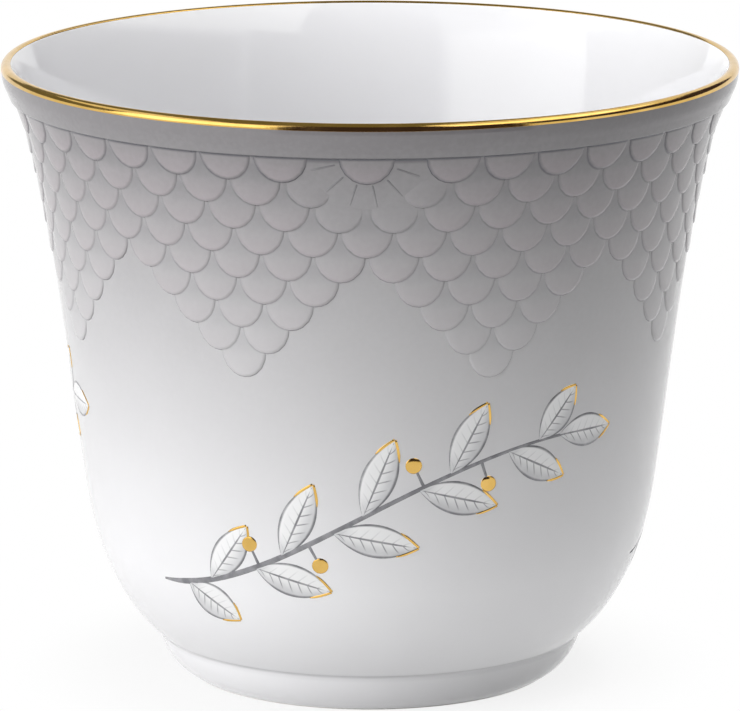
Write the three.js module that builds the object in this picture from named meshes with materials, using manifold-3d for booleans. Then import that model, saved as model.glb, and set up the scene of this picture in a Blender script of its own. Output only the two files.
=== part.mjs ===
// A handleless porcelain cup: a flared bowl on a foot ring, with a moulded border of overlapping
// scales under its collar, a gilded lip, and three painted sprigs with gilt berries round the wall.
// Millimetres, +z up. The cup stands on its foot ring at z = 0, and the z axis is its own axis.
import * as THREE from "three";
import { mergeVertices } from "three/addons/utils/BufferGeometryUtils.js";
import Module from "manifold-3d";

// Height and lip
const CUP_HEIGHT = 76.1; // standing face to the crest of the gilded lip
const RIM_RADIUS = 45; // outside of the gilded lip
const LIP_THICKNESS = 1.44; // across the round lip, gilding included
const FLARE_INSET = 0.23; // how far inside the rim the flare ends
const LIP_HEIGHT = 2.1; // end of the flare to the crest

// Foot ring
const FOOT_HEIGHT = 5.05; // standing face to the crease under the bowl
const FOOT_OUTER_RADIUS = 22.65; // outer edge of the standing face
const FOOT_RING_WIDTH = 2.2; // standing face, across the ring
const FOOT_SHOULDER_INSET = 1; // how far inside the crease the foot's shoulder turns
const FOOT_SHOULDER_HEIGHT = 1.5; // height at which it turns
const CREASE_RADIUS = 26.2; // where the foot meets the bowl
const RECESS_DEPTH = 2.6; // standing face to the underside of the floor
const RECESS_DRAFT = 0.7; // inward lean of the recess wall over its depth

// Bowl and wall
const BELLY_RADIUS = 35.2; // where the bowl's curve runs into the straight wall
const BELLY_HEIGHT = 24.5;
const CREASE_SLOPE = 0.9; // outward run for each millimetre of height, here and below
const WALL_SLOPE = 0.137;
const FLARE_SLOPE = 0.71;
const CREASE_EASE = 1.2; // height over which each end of a curve keeps its slope
const BELLY_EASE = 14.4;
const WALL_EASE = 17.6;
const FLARE_EASE = 7;
const WALL_THICKNESS = 2.4; // porcelain at the belly
const FLOOR_THICKNESS = 3.8; // porcelain in the middle of the bowl
const FLOOR_RADIUS = 12; // flat middle of the inside
const FLOOR_EASE = 15; // run over which the inside floor keeps flat before it turns up

// Gilding, drawn thicker than fired gold so that it is a solid
const GILT_THICKNESS = 0.15;
const GILT_GAP = 0.05; // clearance to the porcelain under it
const GILT_SKIRT = 0.14; // upright gold outside, below the round crest
const GILT_INNER_ANGLE = 135; // degrees round the lip from its outside to the inner edge

// Moulded border of scales
const POINTS_ROUND = 8; // hanging points round the cup
const SCALES_PER_POINT = 5; // scales of a full row over each point
const FULL_ROWS = 5; // rows that run all the way round, above the points
const ROSETTE_EVERY = 2; // points from one half rosette to the next
const COLLAR_DROP = 4.2; // crest to the lower edge of the plain collar
const ROW_PITCH = 3.06; // from one row of scales to the next
const SCALE_DEPTH = 3.2; // a scale's own drop, from its sides to its tip
const SCALE_RELIEF = 0.3; // how far a scale's edge stands off the wall
const RISER_RUN = 0.15; // height of the short riser under a scale's edge
const BORDER_MARGIN = 1; // plain wall under the lowest tips that belongs to the border

// Painted sprigs, drawn as thin films on the wall
const SPRIGS_ROUND = 3;
const FILM_GAP = 0.08; // clearance to the wall
const FILM_THICKNESS = 0.15;
const SPRIG_WIDTH = 54; // along the wall, from one end of the stem to the other
const SPRIG_FOOT_CLEARANCE = 11.5; // crease to the low end of the stem
const SPRIG_BORDER_CLEARANCE = 7.5; // high end of the stem to the border
const STEM_WIDTH = 1;
const LEAF_PAIRS = 5;
const LEAF_LENGTH = 10.5;
const LEAF_WIDTH = 4.2;
const LEAF_ANGLE = 40; // degrees between a leaf and the stem
const END_LEAF_LENGTH = 9; // the leaf that ends the stem
const BERRY_RADIUS = 1;
const BERRY_STALK = 3; // stem to the middle of a berry
const STALK_WIDTH = 0.5;
const BERRY_CLEARANCE = 0.3; // bare wall round a berry

// How finely the round surfaces are cut
const COLUMNS_PER_SCALE = 4;
const FOOT_STEPS = 3;
const BOWL_STEPS = 6;
const WALL_STEPS = 3;
const TURN_STEPS = 2;
const LIP_STEPS = 3;
const INSIDE_STEPS = 5;
const STEM_STEPS = 10;
const LEAF_STEPS = 3;
const BERRY_SIDES = 12;

const fineColumns = POINTS_ROUND * SCALES_PER_POINT * COLUMNS_PER_SCALE;
const coarseColumns = fineColumns / 2;
const wasm = await Module();
wasm.setup();

// The profile, as points of radius and height.
const at = (radius, height) => new THREE.Vector2(radius, height);
const along = (slope, rise) => at(slope * rise, rise);
const crease = at(CREASE_RADIUS, FOOT_HEIGHT);
const belly = at(BELLY_RADIUS, BELLY_HEIGHT);
const flareEnd = at(RIM_RADIUS - FLARE_INSET, CUP_HEIGHT - LIP_HEIGHT);

const footCurve = new THREE.QuadraticBezierCurve(
  at(FOOT_OUTER_RADIUS, 0),
  at(CREASE_RADIUS - FOOT_SHOULDER_INSET, FOOT_SHOULDER_HEIGHT),
  crease,
);
const bowlCurve = new THREE.CubicBezierCurve(
  crease,
  crease.clone().add(along(CREASE_SLOPE, CREASE_EASE)),
  belly.clone().sub(along(WALL_SLOPE, BELLY_EASE)),
  belly,
);
const wallCurve = new THREE.CubicBezierCurve(
  belly,
  belly.clone().add(along(WALL_SLOPE, WALL_EASE)),
  flareEnd.clone().sub(along(FLARE_SLOPE, FLARE_EASE)),
  flareEnd,
);

// Radius of the plain wall at a height, found on the curve that passes there.
function wallRadius(height) {
  const curve = height < BELLY_HEIGHT ? bowlCurve : wallCurve;
  let low = 0;
  let high = 1;
  while (high - low > 1e-9) {
    const middle = (low + high) / 2;
    if (curve.getPoint(middle).y < height) low = middle;
    else high = middle;
  }
  return curve.getPoint(low).x;
}

// A ring of corners about the axis. Angle 0 is the front, and angles grow towards +x.
function ring(columns, profileAt) {
  return Array.from({ length: columns }, (_, column) => {
    const angle = (2 * Math.PI * column) / columns;
    const { x: radius, y: height } = profileAt(angle, column);
    return new THREE.Vector3(radius * Math.sin(angle), -radius * Math.cos(angle), height);
  });
}
const turned = (point) => ring(coarseColumns, () => point);
const pole = (height) => [new THREE.Vector3(0, 0, height)];

// A closed surface through a chain of rings. A ring with fewer corners shares each of them between
// neighbouring columns, and facets that close up to nothing are left out.
function surfaceThrough(rings) {
  const corners = [];
  const facet = (...three) => {
    const closed = three.some((corner, i) => corner.distanceTo(three[(i + 1) % 3]) < 1e-6);
    if (!closed) corners.push(...three);
  };
  rings.slice(1).forEach((next, i) => {
    const ringBelow = rings[i];
    const columns = Math.max(ringBelow.length, next.length);
    const pick = (corner, column) =>
      corner[Math.floor((column * corner.length) / columns + 0.5) % corner.length];
    for (let column = 0; column < columns; column++) {
      facet(pick(ringBelow, column), pick(ringBelow, column + 1), pick(next, column + 1));
      facet(pick(ringBelow, column), pick(next, column + 1), pick(next, column));
    }
  });
  return mergeVertices(new THREE.BufferGeometry().setFromPoints(corners), 1e-5);
}

// Heights of the border, from the collar down.
const collarLine = CUP_HEIGHT - COLLAR_DROP;
const lastRow = FULL_ROWS + SCALES_PER_POINT - 2;
const borderBottom = collarLine - lastRow * ROW_PITCH - SCALE_DEPTH - BORDER_MARGIN;
const pointAngle = (2 * Math.PI) / POINTS_ROUND;
const scaleAngle = pointAngle / SCALES_PER_POINT;

// Height of a row's lower edge at an angle, or null where the row has no scale there. A half rosette
// hangs from the collar in every other valley between two points, in the place of three scales.
function scaleEdge(row, angle) {
  const valley = Math.round(angle / pointAngle);
  const fromValley = (angle - valley * pointAngle) / scaleAngle;
  const rosette = (valley % POINTS_ROUND) % ROSETTE_EVERY === 0;
  const fromPoint = (angle / pointAngle - Math.floor(angle / pointAngle) - 0.5) * SCALES_PER_POINT;
  const shift = ((lastRow - row) % 2) / 2;
  let centre = Math.round(fromPoint - shift) + shift;
  let offCentre = 2 * (fromPoint - centre);
  if (rosette && row === 0 && Math.abs(fromValley) < 1) offCentre = 2 * fromValley;
  const bare = rosette && row === 1 && Math.abs(fromValley) < 0.5;
  const scalesHere = SCALES_PER_POINT - Math.max(0, row - FULL_ROWS + 1);
  const outside = row >= FULL_ROWS && Math.abs(centre) > scalesHere / 2;
  if (bare || outside || Math.abs(offCentre) > 1) return null;
  return collarLine - row * ROW_PITCH - SCALE_DEPTH * Math.sqrt(1 - offCentre ** 2);
}

// One column of the border, top to bottom: the collar's edge, then each row's surface leaning out to
// the row's edge, with a riser back to the wall under it. A row that is hidden here closes up.
function borderColumn(angle) {
  const steps = [];
  let foot = collarLine;
  const step = (edge, relief) => {
    steps.push(at(wallRadius(edge) + relief, edge));
    foot = edge - (RISER_RUN * relief) / SCALE_RELIEF;
    steps.push(at(wallRadius(foot), foot));
  };
  step(collarLine, SCALE_RELIEF);
  for (let row = 0; row <= lastRow; row++) {
    const edge = scaleEdge(row, angle);
    const drop = edge === null ? 0 : foot - edge;
    if (drop > RISER_RUN) step(edge, SCALE_RELIEF * Math.min(1, drop / SCALE_DEPTH));
    else step(foot, 0);
  }
  steps.push(at(wallRadius(borderBottom), borderBottom));
  return steps;
}

function borderRings() {
  const columns = Array.from({ length: fineColumns }, (_, column) =>
    borderColumn((2 * Math.PI * column) / fineColumns),
  );
  return columns[0]
    .map((_, level) => ring(fineColumns, (angle, column) => columns[column][level]))
    .reverse();
}

// The lip's round crest and upright outer face, set in from the gilded surface by an inset.
const lipRadius = LIP_THICKNESS / 2;
const lipCentre = at(RIM_RADIUS - lipRadius, CUP_HEIGHT - lipRadius);
const onLip = (radius, angle) =>
  at(lipCentre.x + radius * Math.cos(angle), lipCentre.y + radius * Math.sin(angle));

function lipPath(inset, lowerEdge, innerAngle) {
  const crest = Array.from({ length: LIP_STEPS + 1 }, (_, i) =>
    onLip(lipRadius - inset, (innerAngle * i) / LIP_STEPS),
  );
  return [at(RIM_RADIUS - inset, lowerEdge), ...crest];
}

const innerAngle = THREE.MathUtils.degToRad(GILT_INNER_ANGLE);
const giltEdge = lipCentre.y - GILT_SKIRT;

// Heights of the plain wall's rings, shared by the body and by the films that lie on it.
const wallHeights = Array.from(
  { length: WALL_STEPS },
  (_, i) => BELLY_HEIGHT + ((borderBottom - BELLY_HEIGHT) * i) / WALL_STEPS,
);
const bowlPoints = bowlCurve.getPoints(BOWL_STEPS);

// The porcelain: underside, foot, bowl, wall with its border, collar, lip and inside in one body.
function porcelainBody() {
  const footInner = FOOT_OUTER_RADIUS - FOOT_RING_WIDTH;
  const underside = [at(footInner - RECESS_DRAFT, RECESS_DEPTH), at(footInner, 0)];
  const wall = wallHeights.slice(1).map((height) => at(wallRadius(height), height));

  const collarMiddle = (collarLine + flareEnd.y) / 2;
  const ledge = giltEdge - GILT_GAP;
  const turn = new THREE.QuadraticBezierCurve(
    flareEnd,
    at(RIM_RADIUS, flareEnd.y + FLARE_INSET / FLARE_SLOPE),
    at(RIM_RADIUS, ledge),
  );
  const collar = [
    at(wallRadius(collarMiddle) + SCALE_RELIEF / 2, collarMiddle),
    ...turn.getPoints(TURN_STEPS),
  ];

  const seatAngle = innerAngle + GILT_GAP / lipRadius;
  const seat = lipPath(GILT_THICKNESS + GILT_GAP, ledge, seatAngle);
  const innerLip = onLip(lipRadius, seatAngle);

  const floorHeight = RECESS_DEPTH + FLOOR_THICKNESS;
  const across = at(1, -WALL_SLOPE).normalize().multiplyScalar(WALL_THICKNESS);
  const innerBelly = belly.clone().sub(across);
  const innerWall = new THREE.CubicBezierCurve(
    innerLip,
    innerLip.clone().sub(along(FLARE_SLOPE, FLARE_EASE)),
    innerBelly.clone().add(along(WALL_SLOPE, WALL_EASE)),
    innerBelly,
  );
  const innerBowl = new THREE.CubicBezierCurve(
    innerBelly,
    innerBelly.clone().sub(along(WALL_SLOPE, BELLY_EASE)),
    at(FLOOR_RADIUS + FLOOR_EASE, floorHeight),
    at(FLOOR_RADIUS, floorHeight),
  );
  return surfaceThrough([
    pole(RECESS_DEPTH),
    ...underside.map(turned),
    ...footCurve.getPoints(FOOT_STEPS).map(turned),
    ...bowlPoints.slice(1).map(turned),
    ...wall.map(turned),
    ...borderRings(),
    ...collar.map(turned),
    ...seat.map(turned),
    ...innerWall.getPoints(INSIDE_STEPS).map(turned),
    ...innerBowl.getPoints(INSIDE_STEPS).slice(1).map(turned),
    pole(floorHeight),
  ]);
}

// The gilding over the lip, an upturned channel that sits in the lip's shallow seat.
function giltRimBand() {
  const outside = lipPath(0, giltEdge, innerAngle);
  const inside = lipPath(GILT_THICKNESS, giltEdge, innerAngle).reverse();
  return surfaceThrough([...outside, ...inside, outside[0]].map(turned));
}

// A closed surface as a solid for joining and cutting, and back again.
function solidOf(geometry) {
  const bare = mergeVertices(
    new THREE.BufferGeometry()
      .setAttribute("position", geometry.getAttribute("position"))
      .setIndex(geometry.index),
    1e-5,
  );
  const mesh = new wasm.Mesh({
    numProp: 3,
    vertProperties: new Float32Array(bare.getAttribute("position").array),
    triVerts: new Uint32Array(bare.index.array),
  });
  return new wasm.Manifold(mesh);
}

function geometryOf(solid) {
  const { vertProperties, triVerts } = solid.getMesh();
  return new THREE.BufferGeometry()
    .setAttribute("position", new THREE.BufferAttribute(vertProperties, 3))
    .setIndex(new THREE.BufferAttribute(triVerts, 1));
}

// The thin layer on the plain wall that the painting is cut from, from the crease to the border.
function paintLayer() {
  const wall = [...wallHeights.slice(1), borderBottom].map((height) => at(wallRadius(height), height));
  const profile = [...bowlPoints.slice(1), ...wall];
  const outside = profile.map((p) => at(p.x + FILM_GAP + FILM_THICKNESS, p.y));
  const inside = profile.map((p) => at(p.x + FILM_GAP, p.y)).reverse();
  return solidOf(surfaceThrough([...outside, ...inside, outside[0]].map(turned)));
}

// Outlines are drawn on the unrolled wall, in length along it and height, about the sprig's middle.
// Each is then cut through the front of the wall, straight from the front.
const stemLow = FOOT_HEIGHT + SPRIG_FOOT_CLEARANCE;
const stemHigh = borderBottom - SPRIG_BORDER_CLEARANCE;
const sprigRadius = wallRadius((stemLow + stemHigh) / 2);

function throughWall(outline) {
  const seenFromFront = outline.map((p) => at(sprigRadius * Math.sin(p.x / sprigRadius), p.y));
  const cutter = new THREE.ExtrudeGeometry(new THREE.Shape(seenFromFront), {
    depth: RIM_RADIUS,
    bevelEnabled: false,
  });
  return solidOf(cutter.rotateX(Math.PI / 2));
}

// The stem rises from its low left end, first along the belly and then up towards the border.
const stem = new THREE.CubicBezierCurve(
  at(-SPRIG_WIDTH / 2, stemLow),
  at(-SPRIG_WIDTH / 5, stemLow),
  at(SPRIG_WIDTH / 12, stemHigh),
  at(SPRIG_WIDTH / 2, stemHigh),
);

function stemOutline() {
  const upper = [];
  const lower = [];
  for (let i = 0; i <= STEM_STEPS; i++) {
    const run = i / STEM_STEPS;
    const point = stem.getPoint(run);
    const tangent = stem.getTangent(run);
    const half = (STEM_WIDTH / 2) * (1 - run / 2);
    upper.unshift(at(point.x - tangent.y * half, point.y + tangent.x * half));
    lower.push(at(point.x + tangent.y * half, point.y - tangent.x * half));
  }
  return [...lower, ...upper];
}

// A pointed leaf from its base on the stem, bounded by two even curves.
function leafOutline(base, direction, length) {
  const tip = base.clone().addScaledVector(direction, length);
  const middle = base.clone().lerp(tip, 0.5);
  const side = at(-direction.y, direction.x).multiplyScalar(LEAF_WIDTH);
  const there = new THREE.QuadraticBezierCurve(base, middle.clone().sub(side), tip);
  const back = new THREE.QuadraticBezierCurve(tip, middle.clone().add(side), base);
  return [...there.getPoints(LEAF_STEPS).slice(0, -1), ...back.getPoints(LEAF_STEPS).slice(0, -1)];
}

// Where a leaf leaves the stem, as a share of its run. The leaf below the stem comes a little first.
const leafRun = (pair, side) => (pair + 0.6 + 0.18 * side) / (LEAF_PAIRS + 0.2);

function leafOutlines() {
  const end = stem.getTangent(1);
  const endBase = stem.getPoint(1).addScaledVector(end, -END_LEAF_LENGTH / 4);
  const outlines = [leafOutline(endBase, end, END_LEAF_LENGTH)];
  for (let pair = 0; pair < LEAF_PAIRS; pair++) {
    for (const side of [-1, 1]) {
      const run = leafRun(pair, side);
      const turn = side * THREE.MathUtils.degToRad(LEAF_ANGLE);
      const direction = stem.getTangent(run).rotateAround(at(0, 0), turn);
      const length = LEAF_LENGTH * (0.75 + 0.25 * Math.sin(Math.PI * run));
      outlines.push(leafOutline(stem.getPoint(run), direction, length));
    }
  }
  return outlines;
}

// A berry hangs on a short stalk beyond each leaf but the last, above and below the stem in turn.
function berryStalks() {
  return Array.from({ length: LEAF_PAIRS - 1 }, (_, i) => {
    const side = i % 2 === 0 ? 1 : -1;
    const run = leafRun(i + 0.7, side);
    const base = stem.getPoint(run);
    const tangent = stem.getTangent(run);
    const direction = at(-tangent.y, tangent.x).multiplyScalar(side);
    return { base, tangent, berry: base.clone().addScaledVector(direction, BERRY_STALK) };
  });
}

function stalkOutline({ base, tangent, berry }) {
  const half = tangent.clone().multiplyScalar(STALK_WIDTH / 2);
  const near = [base.clone().sub(half), base.clone().add(half)];
  const far = [berry.clone().add(half), berry.clone().sub(half)];
  const outline = [...near, ...far];
  return THREE.ShapeUtils.area(outline) > 0 ? outline : outline.reverse();
}

function discOutline(centre, radius) {
  return Array.from({ length: BERRY_SIDES }, (_, i) => {
    const angle = (2 * Math.PI * i) / BERRY_SIDES;
    return at(centre.x + radius * Math.cos(angle), centre.y + radius * Math.sin(angle));
  });
}

const layer = paintLayer();

function paintedFoliage() {
  const outlines = [...leafOutlines(), ...berryStalks().map(stalkOutline)];
  let foliage = throughWall(stemOutline());
  for (const outline of outlines) foliage = foliage.add(throughWall(outline));
  for (const { berry } of berryStalks()) {
    foliage = foliage.subtract(throughWall(discOutline(berry, BERRY_RADIUS + BERRY_CLEARANCE)));
  }
  return geometryOf(foliage.intersect(layer));
}

function giltBerry(centre) {
  return geometryOf(throughWall(discOutline(centre, BERRY_RADIUS)).intersect(layer));
}

const porcelain = new THREE.MeshStandardMaterial({ color: 0xf0eff0, roughness: 0.15, metalness: 0 });
const gilding = new THREE.MeshStandardMaterial({ color: 0xc79a4b, roughness: 0.25, metalness: 1 });
const greyPaint = new THREE.MeshStandardMaterial({ color: 0x9a9ba2, roughness: 0.2, metalness: 0 });

function named(name, geometry, material) {
  const mesh = new THREE.Mesh(geometry, material);
  mesh.name = name;
  return mesh;
}

const cup = new THREE.Group();
cup.add(named("porcelain_body", porcelainBody(), porcelain));
cup.add(named("gilt_rim_band", giltRimBand(), gilding));

const foliage = paintedFoliage();
const berries = berryStalks().map(({ berry }) => giltBerry(berry));
for (let i = 0; i < SPRIGS_ROUND; i++) {
  const sprig = new THREE.Group();
  sprig.rotation.z = (2 * Math.PI * i) / SPRIGS_ROUND;
  sprig.add(named(`painted_foliage_${i + 1}`, foliage, greyPaint));
  berries.forEach((berry, j) => sprig.add(named(`gilt_berry_${i + 1}_${j + 1}`, berry, gilding)));
  cup.add(sprig);
}

export default cup;
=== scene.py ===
import math
from functools import partial

import bmesh
import bpy
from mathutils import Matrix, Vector


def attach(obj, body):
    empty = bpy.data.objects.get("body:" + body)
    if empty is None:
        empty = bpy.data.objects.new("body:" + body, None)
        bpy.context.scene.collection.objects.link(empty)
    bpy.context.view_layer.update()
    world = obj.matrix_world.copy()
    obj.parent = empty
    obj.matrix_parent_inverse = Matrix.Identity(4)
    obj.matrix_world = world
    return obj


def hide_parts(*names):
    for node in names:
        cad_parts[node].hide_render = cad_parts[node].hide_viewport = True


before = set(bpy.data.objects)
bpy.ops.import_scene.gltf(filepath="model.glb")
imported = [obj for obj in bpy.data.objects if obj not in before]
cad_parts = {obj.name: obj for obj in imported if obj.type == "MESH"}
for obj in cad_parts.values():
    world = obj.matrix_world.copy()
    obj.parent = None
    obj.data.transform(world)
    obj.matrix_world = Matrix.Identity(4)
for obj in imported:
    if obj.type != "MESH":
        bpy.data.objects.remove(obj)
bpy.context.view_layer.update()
bpy.context.scene.view_settings.view_transform = "Standard"


# The body is one casting of hard porcelain: the bowl, its foot ring and the plain collar under the lip.
# It is sprayed with a soft grey ground that fades out down the wall, then dipped in clear glaze.
# The foot's standing face is wiped bare of glaze, so that it doesn't stick in the kiln.
MM = 0.001
CUP_HEIGHT = 76.1 * MM
RIM_RADIUS = 45 * MM
LIP_RADIUS = 0.72 * MM
FLARE_INSET = 0.23 * MM
LIP_HEIGHT = 2.1 * MM
FOOT_HEIGHT = 5.05 * MM
FOOT_OUTER_RADIUS = 22.65 * MM
FOOT_INNER_RADIUS = 20.45 * MM
FOOT_EDGE = 0.35 * MM
FOOT_SHOULDER = (25.2 * MM, 1.5 * MM)
CREASE_RADIUS = 26.2 * MM
CREASE_BELOW, CREASE_ABOVE = Vector((0.12, 0.3)) * MM, Vector((0.05, 0.1)) * MM
RECESS_DEPTH = 2.6 * MM
RECESS_RADIUS = 19.75 * MM
RECESS_ROUND = 0.8 * MM
HOLDING_RING = 0.1 * MM
BELLY = (35.2 * MM, 24.5 * MM)
CREASE_SLOPE, WALL_SLOPE, FLARE_SLOPE = 0.9, 0.137, 0.71
CREASE_EASE, BELLY_EASE, WALL_EASE, FLARE_EASE = 1.2 * MM, 14.4 * MM, 17.6 * MM, 7 * MM
WALL_THICKNESS = 2.4 * MM
FLOOR_HEIGHT = 6.4 * MM
FLOOR_RADIUS = 12 * MM
FLOOR_EASE = 15 * MM
COLLAR_LINE = 71.9 * MM
COLLAR_RELIEF = 0.4 * MM
COLLAR_STEP, STEP_BELOW = 0.3 * MM, 0.8
COLLAR_TURN = 73 * MM
COLLAR_SLOPE = 0.5
COLLAR_EASE, TURN_EASE = 0.8 * MM, 0.9 * MM
GILT_EDGE = 75.24 * MM
GILT_INNER_ANGLE, INNER_LIP_TURN = 135, 14
GILT_SEAT = 0.05 * MM
WHEEL_COLUMNS = 240
# Pooled grey in the glaze under the collar step and in the crease above the foot, darkened as painted shade
# too.
COLLAR_POOL_DROP, COLLAR_POOL_WIDTH = 0.22 * MM, 0.32 * MM
FOOT_POOL, FOOT_POOL_WIDTH = 0.5, 0.5 * MM
WIPED_HEIGHT = 0.12 * MM
GROUND_TOP, GROUND_END = 74 * MM, 17 * MM
CLOUD_SCALE, SPRAY_SCALE, WAVE_SCALE, GLOSS_SCALE = 45.0, 1500.0, 130.0, 60.0
CLOUD_DRIFT = 0.8 * MM
SPRAY_SPAN, SPRAY_TONES = (0.25, 0.75), (0.985, 1.015)
NOISE_SPAN = (0.3, 0.7)
THIN_HEIGHTS, THIN_SHARES = (42 * MM, 60 * MM), (0.03, 0.13)
# How dark the pooled colour and its painted shade lie: stronger up the wall and on the top row of scales.
POOL_HEIGHTS, POOL_SHARES = (42 * MM, 64 * MM), (0.35, 0.62)
TOP_ROW_HEIGHTS, TOP_ROW_SHARE = (65.8 * MM, 68.6 * MM), 0.36
ROSETTE_THINNING = 0.7
GLAZE_ROUGHNESS, BARE_ROUGHNESS = (0.06, 0.11), 0.6
WAVE_STRENGTH, WAVE_DEPTH = 0.05, 0.3 * MM
PORCELAIN_WHITE = (0.81, 0.808, 0.822, 1)
# The inside's white is a touch lighter and bluer than the outside's, set to how bright the lit inside
# looks: painted light.
INSIDE_WHITE = (0.825, 0.824, 0.84, 1)
GROUND_GREY = (0.213, 0.204, 0.211, 1)
# The dark grey of colour pooled along moulded edges, which also stands in for their shade.
POOLED_GREY_AND_SHADE = (0.062, 0.063, 0.077, 1)
THIN_GLAZE = (0.56, 0.4, 0.45, 1)
BARE_FOOT = (0.70, 0.67, 0.62, 1)


def curve_points(corners, steps):
    """Points along the Bezier curve with these corners, both ends included."""
    points = []
    for i in range(steps + 1):
        layer = [Vector(corner) for corner in corners]
        while len(layer) > 1:
            layer = [a.lerp(b, i / steps) for a, b in zip(layer, layer[1:])]
        points.append(layer[0])
    return points


def leaning(slope, height):
    """A run along the profile that leans outwards by its slope."""
    return Vector((slope * height, height))


def round_edge(centre, radius, first, last, steps):
    """Points on an arc of the profile, from one angle to another in degrees."""
    points = []
    for i in range(steps + 1):
        angle = math.radians(first + (last - first) * i / steps)
        points.append(Vector(centre) + radius * Vector((math.cos(angle), math.sin(angle))))
    return points


def shown(name, data):
    """A new object in the scene."""
    item = bpy.data.objects.new(name, data)
    bpy.context.scene.collection.objects.link(item)
    return item


def piece_from(name, shape):
    """A piece from a finished shape."""
    mesh = bpy.data.meshes.new(name)
    shape.to_mesh(mesh)
    shape.free()
    return shown(name, mesh)


def turned(name, profile, columns=WHEEL_COLUMNS, marks=None):
    """A body turned on the wheel from a profile of radius and height, with marks for each of its rings."""
    shape = bmesh.new()
    layers = {kind: shape.verts.layers.float.new(kind) for kind in marks or {}}
    rings = []
    for i, (radius, height) in enumerate(profile):
        ring = []
        for column in range(columns if radius > 1e-9 else 1):
            angle = 2 * math.pi * column / columns
            corner = shape.verts.new((radius * math.sin(angle), -radius * math.cos(angle), height))
            for kind, layer in layers.items():
                corner[layer] = marks[kind][i]
            ring.append(corner)
        rings.append(ring)
    for ring, after in zip(rings, rings[1:]):
        for column in range(columns):
            beside = (column + 1) % columns
            below = [ring[c % len(ring)] for c in (column, beside)]
            above = [after[c % len(after)] for c in (beside, column)]
            shape.faces.new(list(dict.fromkeys(below + above))).smooth = True
    return piece_from(name, shape)


crease = Vector((CREASE_RADIUS, FOOT_HEIGHT))
belly = Vector(BELLY)
flare_end = Vector((RIM_RADIUS - FLARE_INSET, CUP_HEIGHT - LIP_HEIGHT))
bowl_corners = [
    crease, crease + leaning(CREASE_SLOPE, CREASE_EASE),
    belly - leaning(WALL_SLOPE, BELLY_EASE), belly,
]
wall_corners = [
    belly, belly + leaning(WALL_SLOPE, WALL_EASE),
    flare_end - leaning(FLARE_SLOPE, FLARE_EASE), flare_end,
]
plain_wall = curve_points(bowl_corners, 40) + curve_points(wall_corners, 64)[1:]


def wall_radius(height):
    """Radius of the plain wall at a height, read between the points of its profile."""
    for low, high in zip(plain_wall, plain_wall[1:]):
        if height <= high.y:
            return low.x + (high.x - low.x) * (height - low.y) / (high.y - low.y)
    return plain_wall[-1].x


def collar_stand(height):
    """How far the collar stands off the plain wall: a soft step at its lower edge, dying out at the lip."""
    step = min(1, max(0, (height - COLLAR_LINE) / COLLAR_STEP + STEP_BELOW))
    fade = max(0, height - COLLAR_LINE) / (flare_end.y - COLLAR_LINE)
    return COLLAR_RELIEF * step * step * (3 - 2 * step) * max(0, 1 - fade * fade)


foot_inside = (FOOT_INNER_RADIUS + FOOT_EDGE, FOOT_EDGE)
foot_outside = (FOOT_OUTER_RADIUS - FOOT_EDGE, FOOT_EDGE)
recess_round = Vector((RECESS_RADIUS - RECESS_ROUND, RECESS_DEPTH - RECESS_ROUND))
underside = [Vector((0, RECESS_DEPTH)), Vector((RECESS_RADIUS / 2, RECESS_DEPTH))]
underside += [Vector((recess_round.x - HOLDING_RING, RECESS_DEPTH))]
underside += round_edge(recess_round, RECESS_ROUND, 90, 0, 5)
standing_face = round_edge(foot_inside, FOOT_EDGE, 180, 270, 4)
standing_face += round_edge(foot_outside, FOOT_EDGE, 270, 330, 4)
foot = curve_points([standing_face[-1], FOOT_SHOULDER, crease - CREASE_BELOW], 14)[1:]

below_collar = [p for p in plain_wall[1:] if p.y < COLLAR_LINE - COLLAR_STEP]
collar_heights = [COLLAR_LINE + COLLAR_STEP * (i / 8 - STEP_BELOW) for i in range(11)]
collar_heights += [COLLAR_LINE + (COLLAR_TURN - COLLAR_LINE) * i / 6 for i in range(2, 6)]
collar = [Vector((wall_radius(z) + collar_stand(z), z)) for z in collar_heights]
turn_foot = Vector((wall_radius(COLLAR_TURN) + collar_stand(COLLAR_TURN), COLLAR_TURN))
turn_top = Vector((RIM_RADIUS - GILT_SEAT, GILT_EDGE))
turn = curve_points([
    turn_foot, turn_foot + leaning(COLLAR_SLOPE, COLLAR_EASE),
    turn_top - leaning(0, TURN_EASE), turn_top,
], 12)
lip_centre = Vector((RIM_RADIUS - LIP_RADIUS, CUP_HEIGHT - LIP_RADIUS))
lip = round_edge(lip_centre, LIP_RADIUS - GILT_SEAT, 0, GILT_INNER_ANGLE, 10)

inner_lip = round_edge(lip_centre, LIP_RADIUS, GILT_INNER_ANGLE, GILT_INNER_ANGLE + INNER_LIP_TURN, 2)
across_wall = Vector((1, -WALL_SLOPE)).normalized() * WALL_THICKNESS
inner_belly = belly - across_wall
inner_wall = curve_points([
    inner_lip[-1], inner_lip[-1] - leaning(FLARE_SLOPE, FLARE_EASE),
    inner_belly + leaning(WALL_SLOPE, WALL_EASE), inner_belly,
], 40)[1:]
inner_bowl = curve_points([
    inner_belly, inner_belly - leaning(WALL_SLOPE, BELLY_EASE),
    (FLOOR_RADIUS + FLOOR_EASE, FLOOR_HEIGHT), (FLOOR_RADIUS, FLOOR_HEIGHT),
], 30)[1:]
floor_middle = [Vector((FLOOR_RADIUS / 2, FLOOR_HEIGHT)), Vector((0, FLOOR_HEIGHT))]
inside = inner_lip + inner_wall + inner_bowl + floor_middle

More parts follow.
